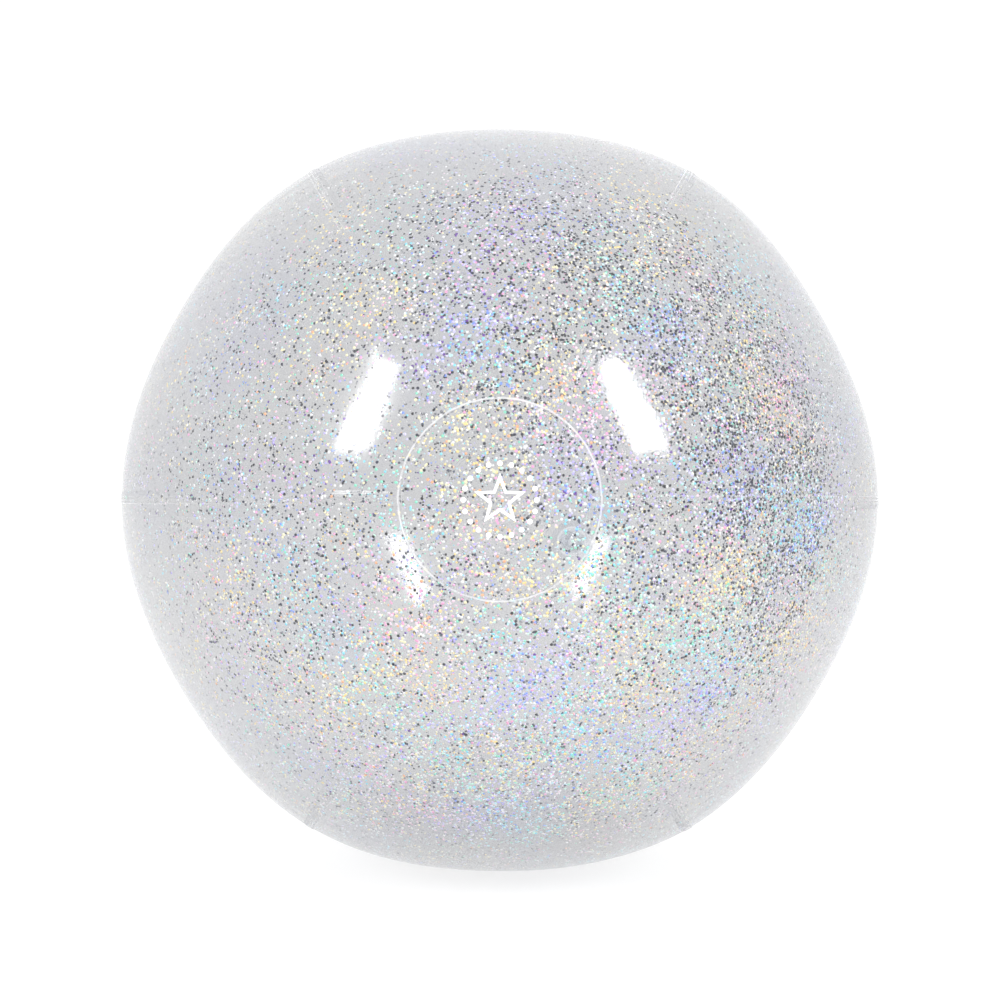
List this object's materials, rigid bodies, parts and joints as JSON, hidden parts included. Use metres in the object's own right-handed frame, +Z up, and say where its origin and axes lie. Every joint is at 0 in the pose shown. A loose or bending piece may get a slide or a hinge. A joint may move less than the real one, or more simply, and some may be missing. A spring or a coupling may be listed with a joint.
{
  "type": "inflatable beach ball",
  "caption": "Clear inflatable ball of lapped and welded film gores with round end caps, a push-in valve with a tethered plug, and loose glitter inside.",
  "frame": {"origin": "centre of the inflated ball", "axes": "+Y is the polar axis and points to the pole next to the valve; the printed cap faces -Y; +Z is up, with a panel's middle at the bottom; +X is to the right, seen from the front"},
  "size_m": [0.3508, 0.3422, 0.3428],
  "materials": {
    "clear_film": "clear glossy film",
    "cap_film": "clear glossy film",
    "valve_pvc": "clear soft moulding",
    "plug_pvc": "clear soft moulding",
    "glitter": "metallised flakes"
  },
  "bodies": {
    "envelope": {"gore_1": "clear_film", "gore_2": "clear_film", "gore_3": "clear_film", "gore_4": "clear_film", "gore_5": "clear_film", "gore_6": "clear_film", "front_cap": "cap_film", "rear_cap": "cap_film", "valve_flange": "valve_pvc", "valve_fold": "valve_pvc", "glitter_flakes": "glitter"},
    "stem": {"valve_stem": "valve_pvc"},
    "plug": {"plug_strap": "plug_pvc", "valve_plug": "plug_pvc"},
    "flap": {"check_flap": "valve_pvc"}
  },
  "joints": [
    {"name": "stem_slide", "type": "slide", "parent": "envelope", "child": "stem", "axis": [0.2451, 0.9591, -0.1415], "range_m": [0, 0.01], "deforming": ["valve_fold"]},
    {"name": "plug_swing", "type": "hinge", "parent": "stem", "child": "plug", "pos_m": [0.055, 0.1644, -0.03175], "axis": [-0.5, 0, -0.866], "range_deg": [0, 160]},
    {"name": "flap_swing", "type": "hinge", "parent": "stem", "child": "flap", "pos_m": [0.0378, 0.15398, -0.02182], "axis": [-0.5, 0, -0.866], "range_deg": [0, 60], "stiffness_Nm_per_rad": 0.0002}
  ]
}
